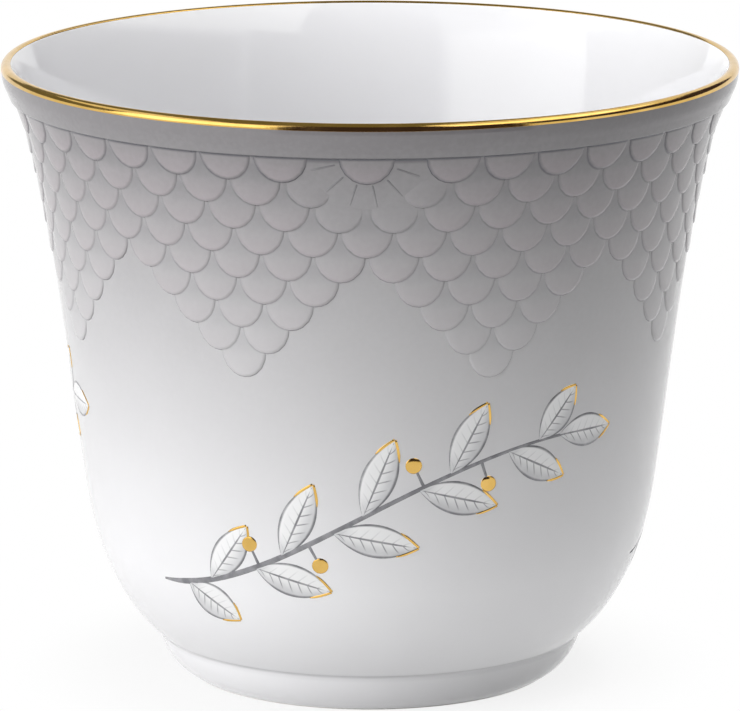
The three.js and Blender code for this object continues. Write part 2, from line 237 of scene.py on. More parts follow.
outside = foot + [crease + CREASE_ABOVE] + below_collar + collar + turn + lip
body_profile = underside + standing_face + outside + inside
outside_marks = [0] * len(underside + standing_face) + [1] * len(outside) + [0] * len(inside)
pool_and_shade_marks = [0] * len(body_profile)
bare_marks = [0] * len(body_profile)
for i, point in enumerate(body_profile):
    if outside_marks[i]:
        from_collar = abs(point.y - (COLLAR_LINE - COLLAR_POOL_DROP)) / COLLAR_POOL_WIDTH
        from_foot = abs(point.y - FOOT_HEIGHT) / FOOT_POOL_WIDTH
        pool_and_shade_marks[i] = max(0, 1 - from_collar, FOOT_POOL * (1 - from_foot))
    elif point.y < WIPED_HEIGHT:
        bare_marks[i] = 1

porcelain_body = turned("porcelain_body_glazed", body_profile, marks={
    "outside": outside_marks, "pool": pool_and_shade_marks, "bare": bare_marks,
})


def feed(tree, node, feeds):
    """Feeds a node's sockets from values or from other nodes."""
    for socket, value in feeds.items():
        if isinstance(value, bpy.types.NodeSocket):
            tree.links.new(value, node.inputs[socket])
        else:
            node.inputs[socket].default_value = value


def place(tree, kind, feeds=None, **settings):
    """Adds a node to a tree, with its settings and what feeds it, and gives its outputs."""
    node = tree.nodes.new(kind)
    for setting, value in settings.items():
        setattr(node, setting, value)
    feed(tree, node, feeds or {})
    return node.outputs


def sum_of(tree, operation, *values):
    """A Math node's result."""
    return place(tree, "ShaderNodeMath", dict(enumerate(values)), operation=operation)[0]


def eased(tree, value, low, high, to_low=0.0, to_high=1.0):
    """A value carried smoothly from one range to another."""
    feeds = {"Value": value, "From Min": low, "From Max": high, "To Min": to_low, "To Max": to_high}
    return place(tree, "ShaderNodeMapRange", feeds, interpolation_type="SMOOTHSTEP")[0]


def mixed(tree, share, first, second):
    """A mix of two colours."""
    return place(tree, "ShaderNodeMix", {0: share, 6: first, 7: second}, data_type="RGBA")[2]


def mark(tree, name):
    """One of the piece's own marks, as a value."""
    return place(tree, "ShaderNodeAttribute", attribute_name=name)["Fac"]


def on_piece(tree):
    """The place on the piece."""
    return place(tree, "ShaderNodeTexCoord")["Object"]


def noise(tree, coordinates, scale, detail=2.0):
    """A cloudy value of this scale."""
    feeds = {"Vector": coordinates, "Scale": scale, "Detail": detail}
    return place(tree, "ShaderNodeTexNoise", feeds)["Fac"]


def varied(tree, coordinates, scale, low, high, detail=2.0):
    """A value that wanders between two ends."""
    return eased(tree, noise(tree, coordinates, scale, detail), *NOISE_SPAN, low, high)


def bumped(tree, strength, depth, height):
    """The way a surface faces, bent by a height."""
    return place(tree, "ShaderNodeBump", {"Strength": strength, "Distance": depth, "Height": height})[0]


def add_sockets(tree, way, kind, *names):
    """Gives a group its named sockets, on the way in or out."""
    for name in names:
        tree.interface.new_socket(name, in_out=way, socket_type=f"NodeSocket{kind}")


def new_material(name):
    """A material, its node tree and its shader."""
    material = bpy.data.materials.new(name)
    material.use_nodes = True
    return material, material.node_tree, material.node_tree.nodes["Principled BSDF"]


def grey_ground():
    """The sprayed ground under the glaze, darkest at the collar, with pooled colour and painted shade along
    moulded edges.
    """
    tree = bpy.data.node_groups.new("Sprayed grey ground", "ShaderNodeTree")
    add_sockets(tree, "INPUT", "Float", "Outside", "Pool", "Thin")
    add_sockets(tree, "OUTPUT", "Color", "Color")
    add_sockets(tree, "OUTPUT", "Float", "Height")
    given = place(tree, "NodeGroupInput")
    calc = partial(sum_of, tree)
    here = on_piece(tree)
    height = place(tree, "ShaderNodeSeparateXYZ", {0: here})["Z"]
    cloud = varied(tree, here, CLOUD_SCALE, -CLOUD_DRIFT, CLOUD_DRIFT, 3.0)
    drifted = calc("ADD", height, cloud)
    fade = place(tree, "ShaderNodeMapRange", {
        "Value": drifted, "From Min": GROUND_END, "From Max": GROUND_TOP,
    })
    spray = eased(tree, noise(tree, here, SPRAY_SCALE), *SPRAY_SPAN, *SPRAY_TONES)
    tone = calc("MULTIPLY", fade[0], spray)
    tone = calc("MULTIPLY", tone, given["Outside"])
    white = mixed(tree, given["Outside"], INSIDE_WHITE, PORCELAIN_WHITE)
    grounded = mixed(tree, tone, white, GROUND_GREY)
    thin = calc("MULTIPLY", given["Thin"], eased(tree, height, *THIN_HEIGHTS, *THIN_SHARES))
    grounded = mixed(tree, thin, grounded, THIN_GLAZE)
    depth = eased(tree, height, *POOL_HEIGHTS, *POOL_SHARES)
    depth = calc("ADD", depth, eased(tree, height, *TOP_ROW_HEIGHTS, 0.0, TOP_ROW_SHARE))
    pooled_and_shaded = calc("MULTIPLY", given["Pool"], depth)
    color = mixed(tree, pooled_and_shaded, grounded, POOLED_GREY_AND_SHADE)
    place(tree, "NodeGroupOutput", {"Color": color, "Height": noise(tree, here, WAVE_SCALE, 1.0)})
    return tree


ground_group = grey_ground()


def glazed_porcelain(name, pooled_and_shaded=lambda tree: mark(tree, "pool")):
    """Porcelain under clear glaze: the ground's colour, a faint waviness, and a bare foot."""
    material, tree, shader = new_material(name)
    calc = partial(sum_of, tree)
    beside = calc("MULTIPLY", mark(tree, "beside_rosette"), ROSETTE_THINNING)
    thin = calc("MULTIPLY", mark(tree, "thin"), calc("SUBTRACT", 1.0, beside))
    ground = place(tree, "ShaderNodeGroup", {
        "Outside": mark(tree, "outside"), "Pool": pooled_and_shaded(tree), "Thin": thin,
    }, node_tree=ground_group)
    here = on_piece(tree)
    bare = mark(tree, "bare")
    gloss = varied(tree, here, GLOSS_SCALE, *GLAZE_ROUGHNESS)
    feed(tree, shader, {
        "Base Color": mixed(tree, bare, ground["Color"], BARE_FOOT),
        "Roughness": calc("MAXIMUM", gloss, calc("MULTIPLY", bare, BARE_ROUGHNESS)),
        "Normal": bumped(tree, WAVE_STRENGTH, WAVE_DEPTH, ground["Height"]),
    })
    return material


porcelain_body.data.materials.append(glazed_porcelain("Glazed porcelain"))
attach(porcelain_body, "root")
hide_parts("porcelain_body")


# The border of overlapping scales is moulded with the body and lies under the same ground and glaze.
# Forty scales stand round the cup in nine rows, each row half a scale on from the one above.
# The last four rows narrow to eight hanging points. The grey colour pools dark under every edge, with
# painted shade in it.
SCALES_ROUND = 40
SCALE_ROWS = 9
FULL_ROWS = 5
SCALES_PER_POINT = 5
ROW_PITCH = 3.06 * MM
SCALE_DEPTH = 3.2 * MM
SCALE_LENGTH = 6.3 * MM
SCALE_REACH = 5.9 * MM
SCALE_RELIEF = 0.2 * MM
SCALE_CROWN = 0.06 * MM
SCALE_BEVEL = 0.34 * MM
SCALE_SOFTNESS = 0.05 * MM
SKIRT_RUN = 0.26 * MM
WALL_ROOT = 0.06 * MM
UNROLLED_RADIUS = 40 * MM
SCALE_HALF_WIDTH = math.radians(4.22) * UNROLLED_RADIUS
SCALE_STEP = 2 * math.pi / SCALES_ROUND * UNROLLED_RADIUS
TOP_ROOT = 0.2 * MM
COLLAR_CUT = 0.6
ROSETTE_SINK = 2.9 * MM
ROSETTE_SIDE_SINK = 0.9
UNDER_ROSETTE, BESIDE_SECOND, BESIDE_THIRD = 0.4, 1.1, 0.6
POOL_REACH = 0.38 * MM
# Painted shade: a scale's pooled edges are darker towards its left side, against the light that falls from
# the left.
LEFT_EDGE_SHADE = 0.3
SCALE_WAIST = 4.6 * MM
TIP_TURNS, SIDE_TURNS = (-30, -15, 0, 15, 30), (50, 70, 90)
SOFT_POOL, SIDE_POOL_LOSS, SIDE_SKIRT_LOSS = 0.35, 0.6, 0.45
COVERING_SCALES = ((-0.5, 1, 0.5), (0.5, 1, 0.85), (0, 2, 0.6))
POOL_FADE, POOL_LEFT = (3.6 * MM, 5.6 * MM), 0.2
UPPER_RISE, UPPER_END, UPPER_POOL = (2 * MM, 4.5 * MM), 4.8 * MM, 0.2
UNDER_COLLAR = (2.7 * MM, 3.15 * MM)
OWN_POOL, TOP_ROW_POOL = 0.85, 1.5
FAR_OUT = 2 * RIM_RADIUS
LANDING_REACH = 0.3


def flat_piece(name, spots, faces, marks):
    """A closed piece drawn flat, facing -Y, from its corners and faces, with marks for each corner."""
    shape = bmesh.new()
    layers = {kind: shape.verts.layers.float.new(kind) for kind in marks}
    corners = []
    for i, spot in enumerate(spots):
        corners.append(shape.verts.new(spot))
        for kind, layer in layers.items():
            corners[i][layer] = marks[kind][i]
    for face in faces:
        shape.faces.new([corners[i] for i in face]).smooth = len(face) < 5
    bmesh.ops.recalc_face_normals(shape, faces=shape.faces)
    if shape.calc_volume(signed=True) < 0:
        bmesh.ops.reverse_faces(shape, faces=shape.faces)
    return piece_from(name, shape)


def scale_face():
    """One scale, drawn flat with its tip at the origin: a gently crowned face, a soft edge and a skirt."""
    corners, ups, acrosses, pool_and_shade_values, faces = [], [], [], [], []

    def face_stand(x, up):
        crown = SCALE_CROWN * (1 - (x / SCALE_HALF_WIDTH) ** 2)
        return (SCALE_RELIEF + crown) * (1 - up / SCALE_REACH)

    def spot(x, up, inset, drop, pool):
        squeeze = 1 - inset / SCALE_HALF_WIDTH
        lift = max(0, 1 - up / SCALE_DEPTH)
        stand = face_stand(x, up) - drop
        if up > SCALE_LENGTH:
            stand = min(stand, -WALL_ROOT)
        corners.append((x * squeeze, -stand, up + inset * lift))
        ups.append(up)
        acrosses.append(x * squeeze)
        pool_and_shade_values.append(pool)
        return len(corners) - 1

    def on_tip(turn):
        angle = math.radians(turn)
        return SCALE_HALF_WIDTH * math.sin(angle), SCALE_DEPTH * (1 - math.cos(angle))

    # Painted shade: the pooled colour on a scale's edges grows towards its left side.
    def darker_on_left_edge(x):
        return 1 - LEFT_EDGE_SHADE * x / SCALE_HALF_WIDTH

    tip = [on_tip(turn) for turn in TIP_TURNS]
    sides = [on_tip(turn) for turn in SIDE_TURNS]
    sides += [(SCALE_HALF_WIDTH, up) for up in (SCALE_WAIST, SCALE_LENGTH, SCALE_LENGTH + TOP_ROOT)]
    rows = [[spot(x, up, SCALE_BEVEL, 0, 0) for x, up in tip]]
    for x, up in sides:
        rows.append([spot(x * share, up, SCALE_BEVEL, 0, 0) for share in (-1, -0.5, 0, 0.5, 1)])
    for row, after in zip(rows, rows[1:]):
        faces += [(row[i], row[i + 1], after[i + 1], after[i]) for i in range(4)]
    outline = [row[0] for row in reversed(rows[1:])] + rows[0] + [row[4] for row in rows[1:]]
    edge = [(-x, up) for x, up in reversed(sides)] + tip + sides
    soft = [spot(x, up, 0, SCALE_SOFTNESS, SOFT_POOL * darker_on_left_edge(x)) for x, up in edge]
    skirt = []
    for x, up in edge:
        side = min(1, up / SCALE_DEPTH)
        run = SKIRT_RUN * (1 - SIDE_SKIRT_LOSS * side)
        pool = (1 - SIDE_POOL_LOSS * side ** 3) * darker_on_left_edge(x)
        skirt.append(spot(x, up, -run, face_stand(x, up) + WALL_ROOT, pool))
    for ring, after in ((outline, soft), (soft, skirt)):
        faces += [(ring[i], after[i], after[i + 1], ring[i + 1]) for i in range(len(ring) - 1)]
    top = rows[-1]
    faces.append((skirt[0], soft[0], *top, soft[-1], skirt[-1]))
    faces.append(tuple(skirt))
    thins = [max(0, 1 - up / SCALE_DEPTH) for up in ups]
    marks = {"up": ups, "across": acrosses, "pool": pool_and_shade_values, "thin": thins, "outside": [1] * len(ups)}
    return flat_piece("scale_border", corners, faces, marks)


def node_tree(name, numbers):
    """An empty tree for a piece made by nodes, with its named inputs."""
    tree = bpy.data.node_groups.new(name, "GeometryNodeTree")
    add_sockets(tree, "INPUT", "Geometry", "Geometry")
    add_sockets(tree, "INPUT", "Object", "Wall")
    add_sockets(tree, "INPUT", "Material", "Finish")
    add_sockets(tree, "INPUT", "Float", *numbers)
    add_sockets(tree, "OUTPUT", "Geometry", "Geometry")
    return tree, place(tree, "NodeGroupInput")


def xyz(tree, x, y, z):
    """A vector from its three parts."""
    return place(tree, "ShaderNodeCombineXYZ", {"X": x, "Y": y, "Z": z})[0]


def scaled(tree, vector, factor):
    """A vector made longer or shorter."""
    return place(tree, "ShaderNodeVectorMath", {0: vector, "Scale": factor}, operation="SCALE")[0]


def moved(tree, spot, by):
    """A place moved by a vector."""
    return place(tree, "ShaderNodeVectorMath", {0: spot, 1: by}, operation="ADD")[0]


def drawn_at(tree):
    """Where a corner is drawn, in its three parts."""
    here = place(tree, "GeometryNodeInputPosition")[0]
    return place(tree, "ShaderNodeSeparateXYZ", {0: here})


def noted(tree, name):
    """A mark that was noted on a corner or on its place."""
    return place(tree, "GeometryNodeInputNamedAttribute", {"Name": name})[0]


def copied(tree, points, piece, feeds):
    """A copy of a drawn piece at each point, with real faces."""
    copies = place(tree, "GeometryNodeInstanceOnPoints", {"Points": points, "Instance": piece, **feeds})
    return place(tree, "GeometryNodeRealizeInstances", {"Geometry": copies[0]})[0]


def shape_of(tree, thing):
    """The shape of another object."""
    return place(tree, "GeometryNodeObjectInfo", {"Object": thing})["Geometry"]


def laid_on_wall(tree, pieces, wall, source, direction, stand):
    """Lays drawn pieces on the wall: each corner is sent in from outside and stands off where it lands."""
    landed = place(tree, "GeometryNodeRaycast", {
        "Target Geometry": shape_of(tree, wall), "Source Position": source, "Ray Direction": direction,
        "Ray Length": LANDING_REACH,
    })
    spot = moved(tree, landed["Hit Position"], scaled(tree, landed["Hit Normal"], stand))
    return place(tree, "GeometryNodeSetPosition", {"Geometry": pieces, "Position": spot})[0]


def from_all_round(tree, given):
    """Where each drawn corner starts, out beyond the rim, and the way in from there, level, to the axis."""
    calc = partial(sum_of, tree)
    flat = drawn_at(tree)
    turn = calc("DIVIDE", flat["X"], given["Unrolled Radius"])
    beside = calc("MULTIPLY", calc("COSINE", turn), -1.0)
    outward = xyz(tree, calc("SINE", turn), beside, 0.0)
    source = moved(tree, scaled(tree, outward, FAR_OUT), xyz(tree, 0.0, 0.0, flat["Z"]))
    return source, scaled(tree, outward, -1.0), calc("MULTIPLY", flat["Y"], -1.0)


def finish_tree(tree, pieces, finish):
    """Ends a tree with its real faces in their finish."""
    finished = place(tree, "GeometryNodeSetMaterial", {"Geometry": pieces, "Material": finish})[0]
    place(tree, "NodeGroupOutput", {"Geometry": finished})


def made_by_nodes(piece, tree, values):
    """Runs a tree on a drawn piece with its inputs set, and keeps the result as a plain mesh."""
    step = piece.modifiers.new(tree.name, "NODES")
    step.node_group = tree
    for item in tree.interface.items_tree:
        if item.in_out == "INPUT" and item.name in values:
            step[item.identifier] = values[item.name]
    graph = bpy.context.evaluated_depsgraph_get()
    solved = piece.evaluated_get(graph)
    mesh = bpy.data.meshes.new_from_object(solved, preserve_all_data_layers=True, depsgraph=graph)
    drawn = piece.data
    piece.modifiers.clear()
    piece.data = mesh
    mesh.name = piece.name
    bpy.data.meshes.remove(drawn)
    return piece


def scale_border_tree():
    """Sets a scale at each place of the border, in rows from the collar down, and lays them on the wall."""
    tree, given = node_tree("Scale border", [
        "Scales Round", "Rows", "Full Rows", "Scales per Point", "Row Pitch", "First Tip", "Scale Depth",
        "Unrolled Radius", "Collar Cut", "Rosette Lean", "Rosette Side Lean",
    ])
    calc = partial(sum_of, tree)

    def same(value, other):
        return calc("COMPARE", value, other, 0.1)

    index = place(tree, "GeometryNodeInputIndex")[0]
    row = calc("FLOOR", calc("DIVIDE", calc("ADD", index, 0.5), given["Scales Round"]))
    column = calc("SUBTRACT", index, calc("MULTIPLY", row, given["Scales Round"]))
    centre = calc("ADD", column, calc("MULTIPLY", same(calc("MODULO", row, 2.0), 0.0), 0.5))

    apart = given["Scales per Point"]
    from_axis = calc("SUBTRACT", calc("FLOORED_MODULO", centre, apart), calc("DIVIDE", apart, 2.0))
    lost = calc("MAXIMUM", 0.0, calc("SUBTRACT", row, calc("SUBTRACT", given["Full Rows"], 1.0)))
    reach = calc("DIVIDE", calc("SUBTRACT", apart, lost), 2.0)
    hanging = calc("GREATER_THAN", row, calc("SUBTRACT", given["Full Rows"], 0.5))
    beyond = calc("GREATER_THAN", calc("ABSOLUTE", from_axis), calc("ADD", reach, 0.1))
    outside_point = calc("MULTIPLY", hanging, beyond)

    from_first = calc("FLOORED_MODULO", calc("ADD", centre, apart), calc("MULTIPLY", apart, 2.0))
    from_rosette = calc("SUBTRACT", from_first, apart)
    near = calc("ABSOLUTE", from_rosette)
    first, second, third = same(row, 0.0), same(row, 1.0), same(row, 2.0)
    left_half = calc("MULTIPLY", first, same(from_rosette, -0.5))
    under = calc("MULTIPLY", second, calc("LESS_THAN", near, UNDER_ROSETTE))
    bare = calc("GREATER_THAN", calc("ADD", outside_point, calc("ADD", left_half, under)), 0.5)
    middle = calc("MULTIPLY", first, same(from_rosette, 0.5))
    centre = calc("SUBTRACT", centre, calc("MULTIPLY", middle, 0.5))

    beside_second = calc("MULTIPLY", second, calc("LESS_THAN", near, BESIDE_SECOND))
    beside_third = calc("MULTIPLY", third, calc("LESS_THAN", near, BESIDE_THIRD))
    beside = calc("ADD", beside_second, beside_third)
    to_rosette = calc("MULTIPLY", beside_second, calc("MULTIPLY", calc("SIGN", from_rosette), -1.0))
    short = calc("MULTIPLY", first, given["Collar Cut"])
    around = calc("MULTIPLY", calc("DIVIDE", centre, given["Scales Round"]), 2 * math.pi)
    along = calc("MULTIPLY", around, given["Unrolled Radius"])
    tip = calc("SUBTRACT", given["First Tip"], calc("MULTIPLY", row, given["Row Pitch"]))
    count = calc("MULTIPLY", given["Scales Round"], given["Rows"])
    spot = xyz(tree, along, 0.0, tip)
    points = place(tree, "GeometryNodePoints", {"Count": count, "Position": spot})[0]
    for name, value in (("short", short), ("beside_rosette", beside), ("to_rosette", to_rosette)):
        feeds = {"Geometry": points, "Name": name, "Value": value}
        points = place(tree, "GeometryNodeStoreNamedAttribute", feeds)[0]
    kept = place(tree, "GeometryNodeDeleteGeometry", {"Geometry": points, "Selection": bare})[0]
    scales = copied(tree, kept, given["Geometry"], {})

    up = noted(tree, "up")
    over = calc("MAXIMUM", 0.0, calc("SUBTRACT", up, given["Scale Depth"]))
    drop = calc("MULTIPLY", calc("MULTIPLY", over, noted(tree, "short")), -1.0)
    sideways = calc("MAXIMUM", 0.0, calc("MULTIPLY", noted(tree, "across"), noted(tree, "to_rosette")))
    sunk = calc("MULTIPLY", calc("MULTIPLY", up, noted(tree, "beside_rosette")), given["Rosette Lean"])
    sunk = calc("ADD", sunk, calc("MULTIPLY", sideways, given["Rosette Side Lean"]))
    down = xyz(tree, 0.0, sunk, drop)
    trimmed = place(tree, "GeometryNodeSetPosition", {"Geometry": scales, "Offset": down})[0]
    laid = laid_on_wall(tree, trimmed, given["Wall"], *from_all_round(tree, given))
    finish_tree(tree, laid, given["Finish"])
    return tree


def pool_and_shade_under_scales(tree):
    """Colour pooled on a scale's face along the edges of the three scales that lie over it, and painted
    shade under them.
    """
    calc = partial(sum_of, tree)
    across, up = mark(tree, "across"), mark(tree, "up")
    near = 0.0
    for aside, rows_up, most in COVERING_SCALES:
        x = calc("DIVIDE", calc("SUBTRACT", across, aside * SCALE_STEP), SCALE_HALF_WIDTH)
        middle = rows_up * ROW_PITCH + SCALE_DEPTH
        y = calc("DIVIDE", calc("SUBTRACT", up, middle), SCALE_DEPTH)
        squares = calc("ADD", calc("MULTIPLY", x, x), calc("MULTIPLY", y, y))
        gap = calc("SUBTRACT", calc("SQRT", squares), 1.0)
        near = calc("MAXIMUM", near, eased(tree, gap, 0.0, POOL_REACH / SCALE_DEPTH, most, 0.0))
    near = calc("MULTIPLY", near, eased(tree, up, *POOL_FADE, 1.0, POOL_LEFT))
    upper = eased(tree, up, *UPPER_RISE, 0.0, UPPER_POOL)
    upper = calc("MULTIPLY", upper, eased(tree, up, SCALE_REACH, UPPER_END))
    near = calc("MAXIMUM", near, upper)
    cut = calc("GREATER_THAN", mark(tree, "short"), 0.05)
    covered = calc("SUBTRACT", 1.0, calc("MAXIMUM", cut, mark(tree, "beside_rosette")))
    under_collar = calc("MULTIPLY", cut, eased(tree, up, *UNDER_COLLAR))
    strength = eased(tree, cut, 0.0, 1.0, OWN_POOL, TOP_ROW_POOL)
    own = calc("MAXIMUM", under_collar, calc("MULTIPLY", mark(tree, "pool"), strength))
    return calc("MAXIMUM", own, calc("MULTIPLY", near, covered))


wall_form = turned("wall_form", plain_wall)
scale_border = made_by_nodes(scale_face(), scale_border_tree(), {
    "Wall": wall_form, "Finish": glazed_porcelain("Glazed scale relief", pool_and_shade_under_scales),
    "Scales Round": SCALES_ROUND, "Rows": SCALE_ROWS, "Full Rows": FULL_ROWS,
    "Scales per Point": SCALES_PER_POINT, "Row Pitch": ROW_PITCH, "First Tip": COLLAR_LINE - SCALE_DEPTH,
    "Scale Depth": SCALE_DEPTH, "Unrolled Radius": UNROLLED_RADIUS, "Collar Cut": COLLAR_CUT,
    "Rosette Lean": SCALE_RELIEF / ROSETTE_SINK - SCALE_RELIEF / SCALE_REACH,
    "Rosette Side Lean": ROSETTE_SIDE_SINK * SCALE_RELIEF / SCALE_HALF_WIDTH,
})
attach(scale_border, "root")


# The fine rays of the half rosettes fan out from the four half discs that hang from the collar.
# They are moulded with the border as narrow tapered ribs, and the grey colour lies dark along them as
# pooled colour and painted shade.
ROSETTES = 4
RAYS = 6
RAY_FIRST_TURN, RAY_LAST_TURN = 23, 165
RAY_INNER, RAY_OUTER = 3.2 * MM, 6.6 * MM
RAY_HALF_WIDTHS = (0.09 * MM, 0.14 * MM)
RAY_RELIEF = 0.035 * MM
RAY_ROOT = 0.08 * MM
RAY_STOPS = 8
RAY_TAPER = 6
RAY_LANES = ((-1.5, None, 0.5), (-1, 0.3, 0.9), (0, 1, 0.55), (1, 0.3, 0.9), (1.5, None, 0.5))
RAY_POOL, RAY_POOL_FADE = 0.8, 0.8


def strip_faces(first, rows, width):
    """Faces of a closed strip: rows of corners joined all round, with a cap at each end."""
    faces = []
    last = first + width * (rows - 1)
    for row in range(first, last, width):
        after = row + width
        faces += [(row + j, row + j + 1, after + j + 1, after + j) for j in range(width - 1)]
        faces.append((row + width - 1, row, after, after + width - 1))
    return faces + [tuple(range(first, first + width)), tuple(range(last, last + width))]


def ray_rib():
    """One rib, drawn flat along +X from the middle of its rosette, tapered and rounded over its back."""
    corners, pool_and_shade_values = [], []
    for i in range(RAY_STOPS + 1):
        run = i / RAY_STOPS
        ends = min(1, RAY_TAPER * run, RAY_TAPER * (1 - run)) ** 0.5
        half = RAY_HALF_WIDTHS[0] + (RAY_HALF_WIDTHS[1] - RAY_HALF_WIDTHS[0]) * run
        for side, rise, pool in RAY_LANES:
            buried = rise is None or i in (0, RAY_STOPS)
            stand = -RAY_ROOT if buried else rise * RAY_RELIEF * ends
            corners.append((RAY_INNER + (RAY_OUTER - RAY_INNER) * run, -stand, side * half))
            pool_and_shade_values.append(pool * RAY_POOL * (1 - RAY_POOL_FADE * run))
    faces = strip_faces(0, RAY_STOPS + 1, len(RAY_LANES))
    return flat_piece("rosette_rays", corners, faces, {"pool": pool_and_shade_values, "outside": [1] * len(pool_and_shade_values)})


def rosette_tree():
    """Fans the ribs out under the collar at each rosette, and lays them on the wall."""
    tree, given = node_tree("Rosette rays", [
        "Rosettes", "Rays", "First Turn", "Last Turn", "Collar Line", "Unrolled Radius",
    ])
    calc = partial(sum_of, tree)
    index = place(tree, "GeometryNodeInputIndex")[0]
    rosette = calc("FLOOR", calc("DIVIDE", calc("ADD", index, 0.5), given["Rays"]))
    ray = calc("SUBTRACT", index, calc("MULTIPLY", rosette, given["Rays"]))
    around = calc("MULTIPLY", calc("DIVIDE", rosette, given["Rosettes"]), 2 * math.pi)
    along = calc("MULTIPLY", around, given["Unrolled Radius"])
    sweep = calc("SUBTRACT", given["Last Turn"], given["First Turn"])
    step = calc("DIVIDE", calc("MULTIPLY", sweep, ray), calc("SUBTRACT", given["Rays"], 1.0))
    lean = xyz(tree, 0.0, calc("ADD", given["First Turn"], step), 0.0)
    spot = xyz(tree, along, 0.0, given["Collar Line"])
    count = calc("MULTIPLY", given["Rosettes"], given["Rays"])
    points = place(tree, "GeometryNodePoints", {"Count": count, "Position": spot})[0]
    ribs = copied(tree, points, given["Geometry"], {"Rotation": lean})
    laid = laid_on_wall(tree, ribs, given["Wall"], *from_all_round(tree, given))
    finish_tree(tree, laid, given["Finish"])
    return tree


rosette_rays = made_by_nodes(ray_rib(), rosette_tree(), {
    "Wall": wall_form, "Finish": glazed_porcelain("Glazed rosette rays"), "Rosettes": ROSETTES,
    "Rays": RAYS, "First Turn": math.radians(RAY_FIRST_TURN), "Last Turn": math.radians(RAY_LAST_TURN),
    "Collar Line": COLLAR_LINE, "Unrolled Radius": UNROLLED_RADIUS,
})
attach(rosette_rays, "root")


# The three leafy sprigs are painted by hand on the wall: white leaves with grey outlines, ribs and washes.
# The colour lies under a clear glaze, so each stroke stands off the wall by only a hair.
SPRIGS_ROUND = 3
STEM_LOW, STEM_HIGH = 16.55 * MM, 35.72 * MM
SPRIG_WIDTH = 54 * MM
STEM_HALF = 0.42 * MM
LEAF_PAIRS = 5
LEAF_LENGTH, END_LEAF_LENGTH = 10.5 * MM, 9 * MM
LEAF_WIDTH = 4.2 * MM
LEAF_TURN = math.radians(40)
LEAF_STOPS, LEAF_LANES = 20, 8
PAINT_STAND = 0.035 * MM
PAINT_ROOT = 0.05 * MM
BERRY_STALK = 3 * MM
BERRY_RADIUS = 1 * MM
STALK_HALF = 0.2 * MM
PAINT_WHITE = (0.82, 0.82, 0.825, 1)
PAINT_WASH = (0.46, 0.46, 0.48, 1)
PAINT_GREY = (0.165, 0.165, 0.18, 1)
PAINT_ROUGHNESS = (0.07, 0.13)
PAINT_BUMP, PAINT_DEPTH = 0.04, 0.1 * MM
STEM_STOPS, STALK_STOPS = 48, 6
STEM_TAPER, STEM_START, STEM_SWELL = 0.6, 0.35, 9
STALK_TAPER = 0.06
STEM_STAND, STALK_STAND = 1.4 * PAINT_STAND, 1.2 * PAINT_STAND
STROKE_EDGE = 0.2
FIRST_PAIR, PAIR_STAGGER, PAIR_SPARE = 0.6, 0.18, 0.2
BERRY_AFTER_PAIR = 0.7
SHORTEST_LEAF = 0.75
LEAF_GAP = 0.004
LEAF_THINNING, LEAF_SPREAD = 0.7, 1.02
BRUSH_SCALE, BRUSH_SHARES = 700.0, (0.75, 1.0)
WASH_EDGES, WASH_SHARE = (0.15, -0.9), 0.75
BASE_WASH_EDGES, BASE_WASH_SHARE = (0.3, 0.0), 0.7
OUTLINE_EDGES = (0.8, 0.93)
RIB_EDGES, RIB_ENDS = (0.085, 0.035), (0.95, 0.8)
VEINS, VEIN_SLANT, VEIN_SHARE = 8.0, 1.1, 0.8
VEIN_EDGES, VEIN_ENDS = (0.11, 0.03), (0.8, 0.4)
LIT_VEIN_EDGES, LIT_VEIN_SHARE = (0.25, -0.1), 0.25

sprig_radius = wall_radius((STEM_LOW + STEM_HIGH) / 2)
stem_corners = [
    Vector((-SPRIG_WIDTH / 2, STEM_LOW)), Vector((-SPRIG_WIDTH / 5, STEM_LOW)),
    Vector((SPRIG_WIDTH / 12, STEM_HIGH)), Vector((SPRIG_WIDTH / 2, STEM_HIGH)),
]


def on_stem(run):
    """A point of the stem's curve and its direction there."""
    a, b, c, d = stem_corners
    left = 1 - run
    point = a * left ** 3 + b * 3 * left * left * run + c * 3 * left * run * run + d * run ** 3
    heading = (b - a) * left * left + (c - b) * 2 * left * run + (d - c) * run * run
    return point, heading.normalized()


def leaf_run(pair, side):
    """Where a leaf leaves the stem. The leaf below the stem comes a little first."""
    return (pair + FIRST_PAIR + PAIR_STAGGER * side) / (LEAF_PAIRS + PAIR_SPARE)


def leaf_places():
    """Each leaf's base, its turn from level and its length, the end leaf first."""
    end, heading = on_stem(1)
    places = [(end - heading * END_LEAF_LENGTH / 4, math.atan2(heading.y, heading.x), END_LEAF_LENGTH)]
    for pair in range(LEAF_PAIRS):
        for side in (-1, 1):
            run = leaf_run(pair, side)
            point, heading = on_stem(run)
            length = LEAF_LENGTH * (SHORTEST_LEAF + (1 - SHORTEST_LEAF) * math.sin(math.pi * run))
            places.append((point, math.atan2(heading.y, heading.x) + side * LEAF_TURN, length))
    return places


def berry_places():
    """The foot of each berry's stalk on the stem, and the middle of the berry."""
    places = []
    for i in range(LEAF_PAIRS - 1):
        side = 1 if i % 2 == 0 else -1
        point, heading = on_stem(leaf_run(i + BERRY_AFTER_PAIR, side))
        places.append((point, point + Vector((-heading.y, heading.x)) * side * BERRY_STALK))
    return places


def stroke(line, halves, stand, corners, faces):
    """A brush stroke along a line on the unrolled wall, rounded over its back, its edges in the glaze."""
    first = len(corners)
    low = STROKE_EDGE * stand
    lanes = ((-1.2, -PAINT_ROOT), (-1, low), (-0.4, stand), (0.4, stand), (1, low), (1.2, -PAINT_ROOT))
    for i, point in enumerate(line):
        ahead = (line[min(i + 1, len(line) - 1)] - line[max(i - 1, 0)]).normalized()
        for lane, off in lanes:
            spot = point + Vector((-ahead.y, ahead.x)) * lane * halves[i]
            corners.append((spot.x, -off, spot.y))
    faces += strip_faces(first, len(line), len(lanes))


